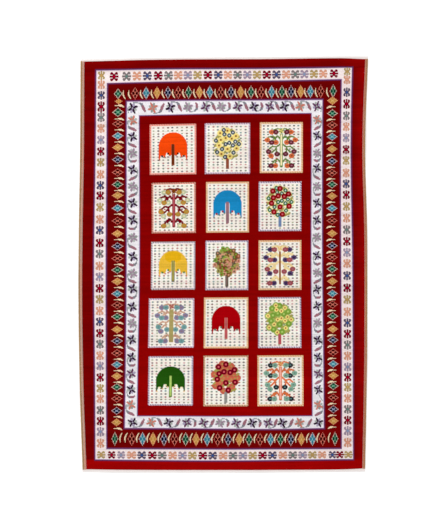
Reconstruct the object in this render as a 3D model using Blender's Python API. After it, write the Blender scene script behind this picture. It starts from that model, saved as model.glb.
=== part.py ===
"""Kilim rug, laid flat: one woven cloth and its two wrapped side bindings.

Frame: X across the rug, Y along it, Z up, the underside on Z = 0 and the middle at X = Y = 0.
Units are metres.
"""
import math

import bpy

# Driving dimensions
HALF_WIDTH = 0.525          # nominal half width, over the side bindings
HALF_LENGTH = 0.755         # nominal half length, over the end webs
CLOTH_THICKNESS = 0.0040    # wrapped weave
EDGE_THICKNESS = 0.0030     # the cloth's rounded rim
EDGE_ROUNDING = 0.0016      # how far in from the rim the full thickness starts
WEB_THICKNESS = 0.0018      # plain-woven end webs
WEB_STEP = 0.0008           # run of the step from the cloth down to the web
BINDING_HEIGHT = 0.0052
LEFT_BINDING_WIDTH = 0.0135
RIGHT_BINDING_WIDTH = 0.0100
CLEARANCE = 0.0003          # between pieces that touch on the real rug

# How far each side edge lies inside the nominal half width: the sides bow out in the middle, and
# the left one draws in at the foot. Columns: height up the rug, left inset, right inset.
SIDE_EDGES = [
    (-0.74, 0.0160, 0.0100),
    (-0.42, 0.0055, 0.0040),
    (-0.10, 0.0010, 0.0020),
    (0.15, 0.0030, 0.0035),
    (0.43, 0.0075, 0.0100),
    (0.73, 0.0090, 0.0000),
]

# How far the ends lie inside the nominal half length: the foot is nearly straight and the head
# leans up to the right. Columns: place across the rug, bottom web's outer edge, bottom end of
# the cloth, top end of the cloth, top web's outer edge.
END_EDGES = [
    (-0.51, 0.0025, 0.0130, 0.0205, 0.0115),
    (-0.20, 0.0005, 0.0105, 0.0135, 0.0050),
    (0.20, 0.0015, 0.0110, 0.0115, 0.0025),
    (0.42, 0.0030, 0.0125, 0.0085, 0.0005),
    (0.51, 0.0040, 0.0160, 0.0115, 0.0005),
]

# Places where the rim stands a little off the floor.
# Columns: place across, height up the rug, reach, lift at the middle of the place.
LIFTS = [
    (0.525, 0.450, 0.150, 0.0045),
    (0.525, 0.080, 0.110, 0.0022),
    (0.525, -0.330, 0.120, 0.0028),
    (-0.525, 0.560, 0.120, 0.0030),
    (-0.525, 0.150, 0.100, 0.0018),
    (-0.525, -0.470, 0.130, 0.0032),
    (-0.300, 0.755, 0.110, 0.0026),
    (0.240, 0.755, 0.120, 0.0034),
    (0.120, -0.755, 0.110, 0.0026),
    (-0.380, -0.755, 0.100, 0.0022),
]

OUTLINE_STEPS = 200         # places where the outline is read to centre the rug
ROWS_BETWEEN_ENDS = 40
COLUMN_PLACES = (0.03, 0.07, 0.12, 0.18, 0.25, 0.33, 0.42, 0.58, 0.67, 0.75, 0.82, 0.88, 0.93, 0.97)
BINDING_STATIONS = 56

# A binding's section: two cords side by side on the floor, as shares of its width and height.
BINDING_SECTION = [
    (0.08, 0.00), (0.92, 0.00), (1.00, 0.26), (1.00, 0.62), (0.91, 0.90), (0.76, 1.00), (0.60, 0.90),
    (0.50, 0.70), (0.40, 0.90), (0.24, 1.00), (0.09, 0.90), (0.00, 0.62), (0.00, 0.26),
]

# Material: colour, roughness
CLOTH_LOOK = ((0.19, 0.012, 0.010, 1.0), 0.92)
BINDING_LOOK = ((0.42, 0.23, 0.14, 1.0), 0.90)


def read_table(table, column, place):
    """The value in one column of a table at a place, on a smooth curve through its rows."""
    place = min(max(place, table[0][0]), table[-1][0])
    number = next(number for number in range(len(table) - 1) if place <= table[number + 1][0])
    before, low = table[max(number - 1, 0)], table[number]
    high, after = table[number + 1], table[min(number + 2, len(table) - 1)]
    length = high[0] - low[0]
    share = (place - low[0]) / length
    leave = length * (high[column] - before[column]) / (high[0] - before[0])
    arrive = length * (after[column] - low[column]) / (after[0] - low[0])
    step = share * share * (3 - 2 * share)
    bend = share * (1 - share) * (leave * (1 - share) - arrive * share)
    return low[column] + step * (high[column] - low[column]) + bend


def left_edge(y):
    return -HALF_WIDTH + read_table(SIDE_EDGES, 1, y)


def right_edge(y):
    return HALF_WIDTH - read_table(SIDE_EDGES, 2, y)


def bottom_web_edge(x):
    return -HALF_LENGTH + read_table(END_EDGES, 1, x)


def bottom_cloth_end(x):
    return -HALF_LENGTH + read_table(END_EDGES, 2, x)


def top_cloth_end(x):
    return HALF_LENGTH - read_table(END_EDGES, 3, x)


def top_web_edge(x):
    return HALF_LENGTH - read_table(END_EDGES, 4, x)


def lift(x, y):
    """Height of the underside above the floor: zero but near the rim's raised places."""
    height = 0.0
    for place_x, place_y, reach, top in LIFTS:
        distance = math.hypot(x - place_x, y - place_y)
        if distance < reach:
            height += top * math.cos(0.5 * math.pi * distance / reach) ** 2
    return height


def frame_offset():
    """The shift that puts the middle of the rug's outer box at X = Y = 0."""
    shares = [step / OUTLINE_STEPS * 2 - 1 for step in range(OUTLINE_STEPS + 1)]
    left = min(left_edge(share * HALF_LENGTH) for share in shares)
    right = max(right_edge(share * HALF_LENGTH) for share in shares)
    bottom = min(bottom_web_edge(share * HALF_WIDTH) for share in shares)
    top = max(top_web_edge(share * HALF_WIDTH) for share in shares)
    return -(left + right) / 2, -(bottom + top) / 2


OFFSET_X, OFFSET_Y = frame_offset()


def on_floor(x, y, height):
    """A point of the laid rug, at a height above its own underside."""
    return (x + OFFSET_X, y + OFFSET_Y, height + lift(x, y))


def clear_scene():
    for old in list(bpy.data.objects):
        bpy.data.objects.remove(old, do_unlink=True)


def fabric(name, look):
    colour, roughness = look
    material = bpy.data.materials.new(name)
    material.use_nodes = True
    shader = material.node_tree.nodes["Principled BSDF"]
    shader.inputs["Base Color"].default_value = colour
    shader.inputs["Roughness"].default_value = roughness
    shader.inputs["Metallic"].default_value = 0.0
    material.diffuse_color = colour
    return material


def add_piece(name, vertices, faces, material):
    mesh = bpy.data.meshes.new(name)
    mesh.from_pydata(vertices, [], faces)
    mesh.validate()
    mesh.materials.append(material)
    mesh.shade_smooth()
    mesh.set_sharp_from_angle(angle=math.radians(35))
    piece = bpy.data.objects.new(name, mesh)
    bpy.context.scene.collection.objects.link(piece)
    return piece


def cloth_rows():
    """Each row of the cloth, bottom to top: a function of x that gives y, a thickness, and its kind."""
    def between(share):
        return lambda x: bottom_cloth_end(x) + share * (top_cloth_end(x) - bottom_cloth_end(x))

    rows = [
        (bottom_web_edge, WEB_THICKNESS, "web"),
        (lambda x: bottom_cloth_end(x) - WEB_STEP, WEB_THICKNESS, "web"),
        (bottom_cloth_end, EDGE_THICKNESS, "rim"),
        (lambda x: bottom_cloth_end(x) + EDGE_ROUNDING, CLOTH_THICKNESS, "cloth"),
    ]
    for row in range(1, ROWS_BETWEEN_ENDS):
        rows.append((between(row / ROWS_BETWEEN_ENDS), CLOTH_THICKNESS, "cloth"))
    rows += [
        (lambda x: top_cloth_end(x) - EDGE_ROUNDING, CLOTH_THICKNESS, "cloth"),
        (top_cloth_end, EDGE_THICKNESS, "rim"),
        (lambda x: top_cloth_end(x) + WEB_STEP, WEB_THICKNESS, "web"),
        (top_web_edge, WEB_THICKNESS, "web"),
    ]
    return rows


def row_points(y_of_x):
    """Points across one row: (x, y, is_rim), with the two web tabs outermost."""
    share_places = (0.0,) + COLUMN_PLACES + (1.0,)
    y_left = y_of_x(-HALF_WIDTH)
    y_right = y_of_x(HALF_WIDTH)
    cloth_left = left_edge(y_left) + LEFT_BINDING_WIDTH + CLEARANCE
    cloth_right = right_edge(y_right) - RIGHT_BINDING_WIDTH - CLEARANCE
    xs = [cloth_left + share * (cloth_right - cloth_left) for share in share_places]
    xs.insert(1, cloth_left + EDGE_ROUNDING)
    xs.insert(-1, cloth_right - EDGE_ROUNDING)
    points = [(left_edge(y_left), y_left, False)]
    for place, x in enumerate(xs):
        points.append((x, y_of_x(x), place in (0, len(xs) - 1)))
    points.append((right_edge(y_right), y_right, False))
    return points


def build_cloth(material):
    """One closed solid: the cloth with its end webs, whose ends reach past the bindings."""
    vertices = []
    faces = []
    grid = []
    rows = cloth_rows()
    for y_of_x, thickness, kind in rows:
        line = []
        for x, y, is_rim in row_points(y_of_x):
            height = min(thickness, EDGE_THICKNESS) if is_rim else thickness
            line.append((len(vertices), len(vertices) + 1))
            vertices.append(on_floor(x, y, 0.0))
            vertices.append(on_floor(x, y, height))
        grid.append(line)

    last_column = len(grid[0]) - 2

    def is_cloth(row, column):
        if not (0 <= row < len(rows) - 1 and 0 <= column <= last_column):
            return False
        in_tab = column in (0, last_column)
        both_web = rows[row][2] == "web" and rows[row + 1][2] == "web"
        return both_web or not in_tab

    for row in range(len(rows) - 1):
        for column in range(last_column + 1):
            if not is_cloth(row, column):
                continue
            a, b = grid[row][column], grid[row][column + 1]
            d, c = grid[row + 1][column], grid[row + 1][column + 1]
            faces.append((a[1], b[1], c[1], d[1]))
            faces.append((d[0], c[0], b[0], a[0]))
            sides = [
                (a, b, is_cloth(row - 1, column)),
                (b, c, is_cloth(row, column + 1)),
                (c, d, is_cloth(row + 1, column)),
                (d, a, is_cloth(row, column - 1)),
            ]
            for start, end, is_covered in sides:
                if not is_covered:
                    faces.append((start[0], end[0], end[1], start[1]))

    used = sorted({vertex for face in faces for vertex in face})
    renumbered = {old: new for new, old in enumerate(used)}
    kept = [vertices[old] for old in used]
    return add_piece("kilim_body", kept, [tuple(renumbered[v] for v in face) for face in faces], material)


def build_binding(name, side, width, material):
    """Two wrapped cords swept along one side edge, between the end webs."""
    nominal_x = side * HALF_WIDTH
    bottom = bottom_cloth_end(nominal_x) - WEB_STEP + CLEARANCE
    top = top_cloth_end(nominal_x) + WEB_STEP - CLEARANCE
    edge = left_edge if side < 0 else right_edge
    sides = len(BINDING_SECTION)
    vertices = []
    faces = []
    for station in range(BINDING_STATIONS + 1):
        y = bottom + (top - bottom) * station / BINDING_STATIONS
        for across, up in BINDING_SECTION:
            x = edge(y) + across * width if side < 0 else edge(y) - (1.0 - across) * width
            vertices.append(on_floor(x, y, up * BINDING_HEIGHT))
    for station in range(BINDING_STATIONS):
        for corner in range(sides):
            following = (corner + 1) % sides
            here, there = station * sides, (station + 1) * sides
            faces.append((here + corner, here + following, there + following, there + corner))
    faces.append(tuple(reversed(range(sides))))
    faces.append(tuple(range(BINDING_STATIONS * sides, (BINDING_STATIONS + 1) * sides)))
    faces = [tuple(reversed(face)) for face in faces]
    return add_piece(name, vertices, faces, material)


def main():
    clear_scene()
    wrapped_wool = fabric("woven_wool", CLOTH_LOOK)
    bound_wool = fabric("binding_wool", BINDING_LOOK)
    build_cloth(wrapped_wool)
    build_binding("selvedge_left", -1, LEFT_BINDING_WIDTH, bound_wool)
    build_binding("selvedge_right", 1, RIGHT_BINDING_WIDTH, bound_wool)


main()
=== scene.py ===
# %% [markdown]
# # A kilim rug, wrapped stitch by stitch
# The rug is a flat weave of the wrapped kind, soumak: coloured wool is wound round the
# warps, so every stitch is a small slanted bead of one yarn, and the whole design is a
# chart of stitches. It could be made as one painted sheet, but then its borders would
# have no thickness and its colours no edges. Here the chart comes first, as a weaver
# would draw it on squared paper, and the cloth is then built from the chart.

# %% Open the frame
import math

import bpy
import numpy as np
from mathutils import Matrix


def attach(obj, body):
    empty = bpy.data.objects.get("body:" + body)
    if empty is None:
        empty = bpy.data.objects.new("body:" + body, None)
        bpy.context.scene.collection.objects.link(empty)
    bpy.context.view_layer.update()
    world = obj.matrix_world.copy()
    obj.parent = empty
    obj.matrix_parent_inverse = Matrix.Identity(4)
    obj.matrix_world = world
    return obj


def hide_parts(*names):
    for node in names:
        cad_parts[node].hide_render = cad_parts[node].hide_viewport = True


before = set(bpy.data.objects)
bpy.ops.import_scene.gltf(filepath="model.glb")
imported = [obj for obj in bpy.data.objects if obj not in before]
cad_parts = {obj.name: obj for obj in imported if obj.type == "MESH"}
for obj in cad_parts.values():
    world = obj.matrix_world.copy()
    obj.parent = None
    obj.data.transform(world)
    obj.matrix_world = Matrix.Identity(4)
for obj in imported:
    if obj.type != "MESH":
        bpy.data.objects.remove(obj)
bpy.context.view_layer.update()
rng = np.random.default_rng(11)
print("nodes:", sorted(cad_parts))

# %% [markdown]
# ## Yarns
# A village dyer has a dozen or so pots: madder reds, indigo blues, weld yellows, and
# the greens, browns and purples that come from dyeing twice. Each yarn is named here
# by its colour as seen, red, green and blue from 0 to 255, and turned into the linear
# light that shaders count in.

# %% Name the yarns
YARNS = {
    "field red": (139, 3, 3), "guard red": (133, 3, 3), "band red": (112, 4, 4),
    "line purple": (98, 42, 84), "line lilac": (178, 148, 186), "star white": (252, 234, 232),
    "vine white": (243, 239, 243), "panel cream": (254, 245, 234), "red": (165, 0, 35),
    "dark red": (118, 0, 26), "grey green": (98, 130, 122), "brown grey": (126, 114, 114),
    "salmon": (228, 155, 130), "deep salmon": (212, 152, 124), "blue": (50, 84, 146),
    "purple grey": (90, 76, 98), "lavender": (130, 148, 178), "mauve grey": (158, 138, 156),
    "tan": (190, 150, 92), "olive tan": (175, 150, 100), "outline cream": (236, 208, 190),
    "outline orange": (240, 132, 116), "outline gold": (252, 168, 118),
    "outline blue": (230, 205, 205), "oxblood": (60, 0, 0), "bottle green": (15, 65, 45),
    "mint": (120, 185, 150), "sky": (56, 122, 144), "pale sky": (150, 210, 210),
    "gold": (230, 188, 116), "amber": (196, 142, 74), "navy": (10, 15, 40),
    "ice": (165, 175, 205), "cross orange": (232, 126, 106), "outline mauve": (225, 195, 198),
    "sliver cream": (255, 220, 184), "sliver brown": (75, 30, 5), "ink": (48, 20, 48),
    "sage": (175, 180, 175), "rose": (204, 122, 104), "lilac": (175, 165, 190),
    "plum": (98, 54, 88), "soft grey": (150, 155, 150), "dusty mauve": (158, 134, 152),
    "stem grey": (160, 165, 168), "leaf mauve": (160, 108, 120), "leaf grey": (130, 130, 138),
    "orange": (250, 74, 12), "deep orange": (226, 58, 6), "wing blue": (28, 138, 196),
    "yellow": (238, 188, 58), "deep yellow": (232, 178, 24), "crimson": (170, 2, 10),
    "dark green": (34, 84, 14), "deep green": (20, 62, 8), "brown": (146, 74, 52),
    "dark brown": (100, 42, 10), "bark": (92, 88, 66), "ring blue": (34, 60, 82),
    "ring red": (140, 2, 14), "ring green": (38, 112, 66), "ring white": (226, 228, 232),
    "ring pink": (216, 90, 100), "petal yellow": (244, 220, 128), "petal lime": (178, 206, 110),
    "eye brown": (146, 86, 14), "leaf olive": (168, 160, 82), "leaf green": (86, 132, 44),
    "stem green": (104, 132, 54), "stem red": (120, 6, 22), "stem pink": (190, 84, 92),
    "fruit orange": (222, 112, 62), "fruit plum": (104, 34, 50), "fruit gold": (190, 136, 52),
    "fruit mint": (198, 204, 168), "fruit indigo": (82, 60, 104), "fruit rose": (160, 74, 80),
    "fruit slate": (136, 130, 158), "fruit teal": (118, 162, 162), "fruit sage": (132, 172, 150),
    "fruit black": (40, 36, 44), "trunk blue": (116, 138, 178), "trunk grey": (146, 144, 138),
    "trunk mauve": (152, 108, 118), "trunk olive": (172, 158, 98),
    "branch cream": (240, 216, 158), "branch tan": (206, 162, 134),
    "crown cream": (248, 234, 184), "crown tan": (196, 138, 106), "crown umber": (112, 78, 34),
    "crown green": (158, 182, 96), "crown coral": (204, 98, 74), "petal green": (122, 160, 58),
    "eye red": (150, 58, 18), "dot green": (88, 108, 80), "dot pale": (168, 172, 140),
    "dot grey": (132, 118, 112), "dot red": (170, 70, 70), "dot wine": (104, 8, 26),
    "dot pink": (206, 148, 150), "dot teal": (92, 136, 132), "dot purple": (112, 82, 108),
    "dot navy": (60, 66, 96), "dot black": (38, 24, 26), "frame salmon": (250, 178, 160),
    "frame rose": (226, 110, 104), "frame peach": (242, 206, 166), "frame tan": (220, 156, 104),
    "frame olive": (78, 66, 52), "frame brown": (128, 66, 46), "frame mauve": (140, 74, 118),
    "frame violet": (66, 30, 92), "frame pale": (240, 224, 232),
}
YARN_NUMBER = {name: number for number, name in enumerate(YARNS)}
GROUND_YARNS = ["field red", "guard red", "band red", "star white", "vine white", "panel cream"]


def to_light(colour):
    """Linear light from a colour as seen, 0 to 255."""
    seen = np.asarray(colour, float) / 255.0
    return np.where(seen <= 0.04045, seen / 12.92, ((seen + 0.055) / 1.055) ** 2.4)


yarn_light = np.array([to_light(colour) for colour in YARNS.values()])
print("yarns:", len(YARNS))

# %% [markdown]
# ## The chart
# The chart is a grid of whole stitches, numbered from the rug's lower left corner.
# From each edge inwards a rug like this has a red guard, a white border of small
# stars, a red border of split diamonds, a white border with a vine, and the red field.
# Thin purple lines part them, with a lilac stitch against the white. Every band is
# named with its width in stitches, so one loop lays all the rectangles inside each
# other.

# %% Lay the bands
ACROSS = 468
ALONG = 666
BANDS = [  # ground yarn, stitches at the sides, stitches at the ends
    ("guard red", 17, 13),
    ("line purple", 2, 2),
    ("line lilac", 1, 1),
    ("star white", 18, 17),
    ("line lilac", 1, 1),
    ("line purple", 2, 2),
    ("band red", 29, 28),
    ("line purple", 2, 2),
    ("line lilac", 1, 1),
    ("vine white", 18, 18),
    ("line lilac", 1, 1),
    ("line purple", 1, 1),
    ("field red", 0, 0),
]

chart = np.zeros((ALONG, ACROSS), np.int16)
inset_side = 0
inset_end = 0
for yarn, side_width, end_width in BANDS:
    chart[inset_end:ALONG - inset_end, inset_side:ACROSS - inset_side] = YARN_NUMBER[yarn]
    inset_side += side_width
    inset_end += end_width
print("chart:", ACROSS, "by", ALONG, "stitches; field starts at", inset_side, inset_end)

# %% [markdown]
# ## Drawing with stitches
# A weaver builds figures in three ways: by copying a small squared pattern, by
# counting a line across, and by filling a round. The helpers do the same. stamp lays
# a pattern written as text, stroke a line of any thickness, and disc a round. All of
# them work on whole stitches, so slanted lines come out stepped, as on the cloth.

# %% Drawing helpers
def stamp(pattern, col, row, yarns, turned=False, flipped=False):
    """Lay a text pattern with its middle at a stitch. yarns maps its letters to yarn names."""
    cells = np.array([list(line) for line in pattern])[::-1]
    if turned:
        cells = cells.T
    if flipped:
        cells = cells[:, ::-1]
    low_row = int(round(row)) - cells.shape[0] // 2
    low_col = int(round(col)) - cells.shape[1] // 2
    window = chart[low_row:low_row + cells.shape[0], low_col:low_col + cells.shape[1]]
    for letter, yarn in yarns.items():
        window[cells == letter] = YARN_NUMBER[yarn]


def window_round(low_col, high_col, low_row, high_row):
    """The chart's cells in a window, with the places of their middles."""
    first_col, last_col = max(0, int(low_col)), min(ACROSS, int(high_col) + 1)
    first_row, last_row = max(0, int(low_row)), min(ALONG, int(high_row) + 1)
    cells = chart[first_row:last_row, first_col:last_col]
    rows, cols = np.mgrid[first_row:last_row, first_col:last_col]
    return cells, cols, rows


def stroke(points, width, yarn):
    """A line of stitches through points, width stitches thick."""
    reach = width / 2 + 1
    for (c0, r0), (c1, r1) in zip(points, points[1:]):
        cells, cols, rows = window_round(
            min(c0, c1) - reach, max(c0, c1) + reach, min(r0, r1) - reach, max(r0, r1) + reach)
        squared_length = max((c1 - c0) ** 2 + (r1 - r0) ** 2, 1e-6)
        share = ((cols - c0) * (c1 - c0) + (rows - r0) * (r1 - r0)) / squared_length
        share = np.clip(share, 0, 1)
        away = np.hypot(cols - c0 - share * (c1 - c0), rows - r0 - share * (r1 - r0))
        cells[away <= width / 2] = YARN_NUMBER[yarn]


def ray(col, row, angle, reaches, width, yarn):
    """A stroke that points away from a middle, between the two distances in reaches."""
    ends = [(col + reach * math.cos(angle), row + reach * math.sin(angle)) for reach in reaches]
    stroke(ends, width, yarn)


def disc(col, row, radius, yarn):
    """A round of stitches."""
    cells, cols, rows = window_round(col - radius, col + radius, row - radius, row + radius)
    cells[np.hypot(cols - col, rows - row) <= radius] = YARN_NUMBER[yarn]


def block(low_col, high_col, low_row, high_row, yarn):
    """A rectangle of stitches, its last column and row included."""
    chart[low_row:high_row + 1, low_col:high_col + 1] = YARN_NUMBER[yarn]


def post(col, row, shape, yarn):
    """An upright rectangle. shape is its half width, and its foot and top above a stitch."""
    half_width, foot, top = shape
    block(col - half_width, col + half_width, row + foot, row + top, yarn)


def read_notes(notes):
    """Weaver's notes such as 'R21 G17' as (letter, stitches from the first motif) pairs."""
    place = 0
    for note in notes.split():
        yield note[0], place
        place += int(note[1:] or 0)


print("stitches in the chart:", chart.size)

# %% [markdown]
# ## The star border
# Each star is a waist with three lobes at each end, turned the same way as the border
# runs. Hand-woven borders never space evenly, so the notes give each star's colour and
# the stitches counted to the next one, from the lower left corner up and to the right.

# %% Stars
def whole(half):
    """A pattern from its upper half, middle row included."""
    return half + half[-2::-1]


STAR_HALF = """
.....DDD.....
.DDD.DDD.DDD.
DDDD.DDD.DDDD
DDDD.DDD.DDDD
DDDD.DDD.DDDD
.DDDDDADDDDD.
..DDDAAADDD..
...DAAAAAD...
""".split()
STAR = whole(STAR_HALF)
CORNER_STAR = whole(STAR_HALF[:2] + STAR_HALF[3:])
STAR_YARNS = {
    "R": ("red", "dark red"),
    "G": ("grey green", "brown grey"),
    "S": ("salmon", "deep salmon"),
    "B": ("blue", "purple grey"),
    "L": ("lavender", "mauve grey"),
    "T": ("tan", "olive tan"),
}
STAR_BORDERS = [  # notes, column and row of the first star, and whether it runs across the rug
    ("R21 G17 S17 B18 R17 G16 S16 L16 T17 R17 B16 S16 G16 L16 T16 R16 B16 S15 G15 L16 T16 S19 R",
     50, 641, True),
    ("T19 R18 L17 S16 B17 R16 G17 S16 L16 T17 R16 B17 S16 G16 L16 T16 R16 B17 S16 G16 L16 T16 S19"
     " B14 R15 T", 29, 23, True),
    ("S18 L17 R18 G19 S17 T18 R19 L17 S19 G18 R19 B18 S19 T18 R19 L18 S20 G18 R21 B18 S20 T19 R17"
     " B18 S20 T18 R19 L19 S18 G15 R18 B18 S14 T", 28, 42, False),
    ("S18 L17 R18 G18 S18 T16 R17 L18 S18 G18 R18 B18 S20 T19 R20 B20 S18 L18 R19 G19 S19 T19 R18"
     " B18 S20 T18 R19 L18 S18 G18 R18 B20 S13 T", 439, 43, False),
]
TOP_CORNER = 640  # a side's star above this row has only the corner's height left

star_count = 0
for notes, first_col, first_row, across_rug in STAR_BORDERS:
    for letter, place in read_notes(notes):
        col = first_col + (place if across_rug else 0)
        row = first_row + (0 if across_rug else place)
        main, lobes = STAR_YARNS[letter]
        pattern = CORNER_STAR if row > TOP_CORNER and not across_rug else STAR
        stamp(pattern, col, row, {"A": main, "D": lobes}, turned=across_rug)
        star_count += 1
print("stars:", star_count)

# %% [markdown]
# ## The diamond border
# On dark red, lozenges split into four small dark ones by a light cross. Those along
# the ends stand tall and narrow and those up the sides lie wide and low, because both
# point across the border. Between them runs a bent cream sliver between brown shadows,
# a stylised leaf. The last ones by the upper corners fill what room is left.

# %% Diamonds and slivers
SIDE_SLIVER = """
.......KKKKK....
...KKKLLLLLLK...
LLLLLLLLLLLLLLK.
.KKKKKKKLLLLLLLK
........KKKKKLLL
""".split()
END_SLIVER = """
.KLK...
.KLK...
KKLK...
KLLK...
KLLK...
KLLK...
KLLK...
KLLKK..
KLLLK..
.KLLK..
.KLLKK.
..KLLK.
..KLLK.
...KLLK
....KLK
""".split()
LOW_SIZE = (9.0, 6.3)  # half width and half height in stitches
TALL_SIZE = (6.0, 10.6)
CORNER_SIZE = (6.9, 8.6)
SMALL_SIZE = (6.2, 4.0)
DIAMOND_RIM = 0.86  # shares of the half size, out from the middle
DIAMOND_EYE = 0.15
CROSS_HALF_WIDTH = 0.065
DIAMOND_YARNS = {  # outline, small diamonds, cross and middle
    "G": ("outline cream", "bottle green", "mint"),
    "D": ("outline orange", "oxblood", "cross orange"),
    "B": ("outline blue", "sky", "pale sky"),
    "Y": ("outline gold", "amber", "gold"),
    "N": ("outline mauve", "navy", "ice"),
}
END_DIAMONDS = [  # notes, first column, row, and 1 or -1 where the field lies above or below
    ("G28 D18 B18 Y18 N17 D17 G18 Y17 B18 D17 N16 Y17 G17 D17 B17 G15 N16 Y16 B18 D22 G",
     57, 613, -1),
    ("G29 D17 B17 Y18 N17 D18 G17 Y18 B17 D17 N18 Y16 G18 D17 B16 G17 N17 Y18 B17 D23 G",
     54, 49, 1),
]
SIDE_DIAMONDS = [  # notes, column, first row, and whether this is the right side
    ("Y19 N20 D19 G18 Y19 B19 D20 N19 Y21 G19 D19 B20 Y19 G19 D20 N21 Y21 D21 B21 Y18 G20 D21 N20"
     " Y19 B20 D18 G", 57, 75, False),
    ("Y19 N19 D19 G17 Y19 B19 D20 N18 Y21 G19 D18 B20 Y20 G19 D19 N20 Y21 D20 B20 Y19 G19 D19 N20"
     " Y20 B19 D19 G", 413, 77, True),
]
LAST_DIAMONDS = [  # column, row and size, the sliver's column and row, and whether on the right
    (58, 600, SMALL_SIZE, 60, 594, False),
    (413, 598, LOW_SIZE, 411, 589, True),
]
WIDE_GAP = 26  # tall diamonds further apart than this have two slivers between
ONE_SLIVER = (0.53,)  # where slivers stand in the gap, as shares of it
TWO_SLIVERS = (0.37, 0.69)
END_SLIVER_SHIFT = 2  # stitches from the diamonds' middle towards the field
SIDE_SLIVER_SHIFTS = (3, -2)  # the same at the left and the right side
SIDE_SLIVER_DROP = 10  # stitches below a diamond's middle


def diamond(letter, col, row, size):
    """A lozenge split into four by a cross. rising and falling run along its pairs of sides."""
    outline, small, middle = DIAMOND_YARNS[letter]
    half_width, half_height = size
    cells, cols, rows = window_round(
        col - half_width, col + half_width, row - half_height, row + half_height)
    rising = abs((cols - col) / half_width + (rows - row) / half_height)
    falling = abs((cols - col) / half_width - (rows - row) / half_height)
    outer, inner = np.maximum(rising, falling), np.minimum(rising, falling)
    cells[outer <= 1] = YARN_NUMBER[outline]
    cells[outer <= DIAMOND_RIM] = YARN_NUMBER[small]
    cells[(outer <= DIAMOND_RIM) & (inner <= CROSS_HALF_WIDTH)] = YARN_NUMBER[middle]
    cells[outer <= DIAMOND_EYE] = YARN_NUMBER[middle]


def sliver(pattern, col, row, flipped=False):
    """A cream sliver with its brown shadows."""
    stamp(pattern, col, row, {"L": "sliver cream", "K": "sliver brown"}, flipped=flipped)


def diamonds_along(notes, first_col, row, inward):
    """Tall diamonds along one end, with slivers between them that bend towards the field."""
    pattern = END_SLIVER if inward < 0 else END_SLIVER[::-1]
    places = list(read_notes(notes))
    for (_, low), (_, high) in zip(places, places[1:]):
        for share in TWO_SLIVERS if high - low > WIDE_GAP else ONE_SLIVER:
            place = first_col + low + (high - low) * share
            sliver(pattern, place, row + END_SLIVER_SHIFT * inward)
    for letter, place in places:
        at_corner = place == 0 and inward < 0
        diamond(letter, first_col + place, row, CORNER_SIZE if at_corner else TALL_SIZE)


def diamonds_up(notes, col, first_row, on_right):
    """Low diamonds up one side, with a sliver below each that bends towards the field."""
    places = list(read_notes(notes))
    for _, place in places:
        row = first_row + place - SIDE_SLIVER_DROP
        sliver(SIDE_SLIVER, col + SIDE_SLIVER_SHIFTS[on_right], row, on_right)
    for letter, place in places:
        diamond(letter, col, first_row + place, LOW_SIZE)


for border in END_DIAMONDS:
    diamonds_along(*border)
for border in SIDE_DIAMONDS:
    diamonds_up(*border)
for col, row, size, sliver_col, sliver_row, on_right in LAST_DIAMONDS:
    sliver(SIDE_SLIVER, sliver_col, sliver_row, on_right)
    diamond("Y", col, row, size)
print("diamonds:", len(LAST_DIAMONDS) + sum(
    len(border[0].split()) for border in END_DIAMONDS + SIDE_DIAMONDS))

# %% [markdown]
# ## The vine border
# Pinwheel flowers of four dark bars and four soft petals sit in a white band. Between
# two flowers a thin stem runs down one side of the band and crosses it as a leaf. The
# weaver turned them as the space came, so each border has its notes: a small letter is
# a flower turned the other way, O and I are leaves with the stem outside or inside, a
# small o or i is a leaf that curls back, and s is a stem alone.

# %% Vine
FLOWER_YARNS = {  # bars, first petals, second petals
    "K": ("ink", "sage", "lilac"),
    "S": ("rose", "sage", "soft grey"),
    "L": ("dusty mauve", "soft grey", "sage"),
    "M": ("plum", "lilac", "sage"),
}
LEAF_LINE = [  # share of the gap between flowers, stitches out from the band's middle, width
    (0.02, 7.4, 1.4), (0.20, 7.6, 1.4), (0.38, 6.2, 1.6), (0.45, 4.2, 2.6), (0.50, 1.4, 4.4),
    (0.55, -1.6, 4.8), (0.61, -4.4, 3.4),
]
CURL_LINE = [  # a shorter leaf that curls back
    (0.06, 6.2, 1.4), (0.22, 6.6, 1.4), (0.40, 5.2, 1.6), (0.49, 2.6, 2.6), (0.51, -0.4, 4.0),
    (0.49, -3.2, 4.2), (0.44, -5.4, 2.8),
]
STEM_LINE = [(0.30, 0.5, 1.4), (0.50, 3.2, 1.4), (0.70, 7.0, 1.4)]
LEAF_SHAPES = {  # line, and 1 with its stem on the outer side or -1 on the inner
    "O": (LEAF_LINE, 1), "I": (LEAF_LINE, -1),
    "o": (CURL_LINE, 1), "i": (CURL_LINE, -1), "s": (STEM_LINE, 1),
}
PART_YARNS = ["stem grey", "stem grey", "leaf grey", "leaf grey", "leaf mauve", "leaf mauve"]
STEM_POINTS = 3  # the points of a line that belong to its stem
TIGHT_GAP = 22  # no room for a leaf between flowers closer than this
BAR_REACHES = (1.4, 7.0)  # a flower's bars and petals, in stitches from its middle
BAR_WIDTH = 3.0
PETAL_REACHES = (3.2, 5.4)
PETAL_WIDTH = 3.8
FLOWER_EYE = 1.1


def pinwheel(letter, col, row, turns):
    """Four bars at the angles in turns and their opposites, with a petal between neighbours."""
    bars, first, second = FLOWER_YARNS[letter.upper()]
    angles = sorted(math.radians(turn + half) for turn in turns for half in (0, 180))
    for number, angle in enumerate(angles):
        following = angles[number + 1] if number < 3 else angles[0] + 2 * math.pi
        petal = first if number % 2 else second
        ray(col, row, (angle + following) / 2, PETAL_REACHES, PETAL_WIDTH, petal)
    for angle in angles:
        ray(col, row, angle, BAR_REACHES, BAR_WIDTH, bars)
    disc(col, row, FLOWER_EYE, second)


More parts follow.
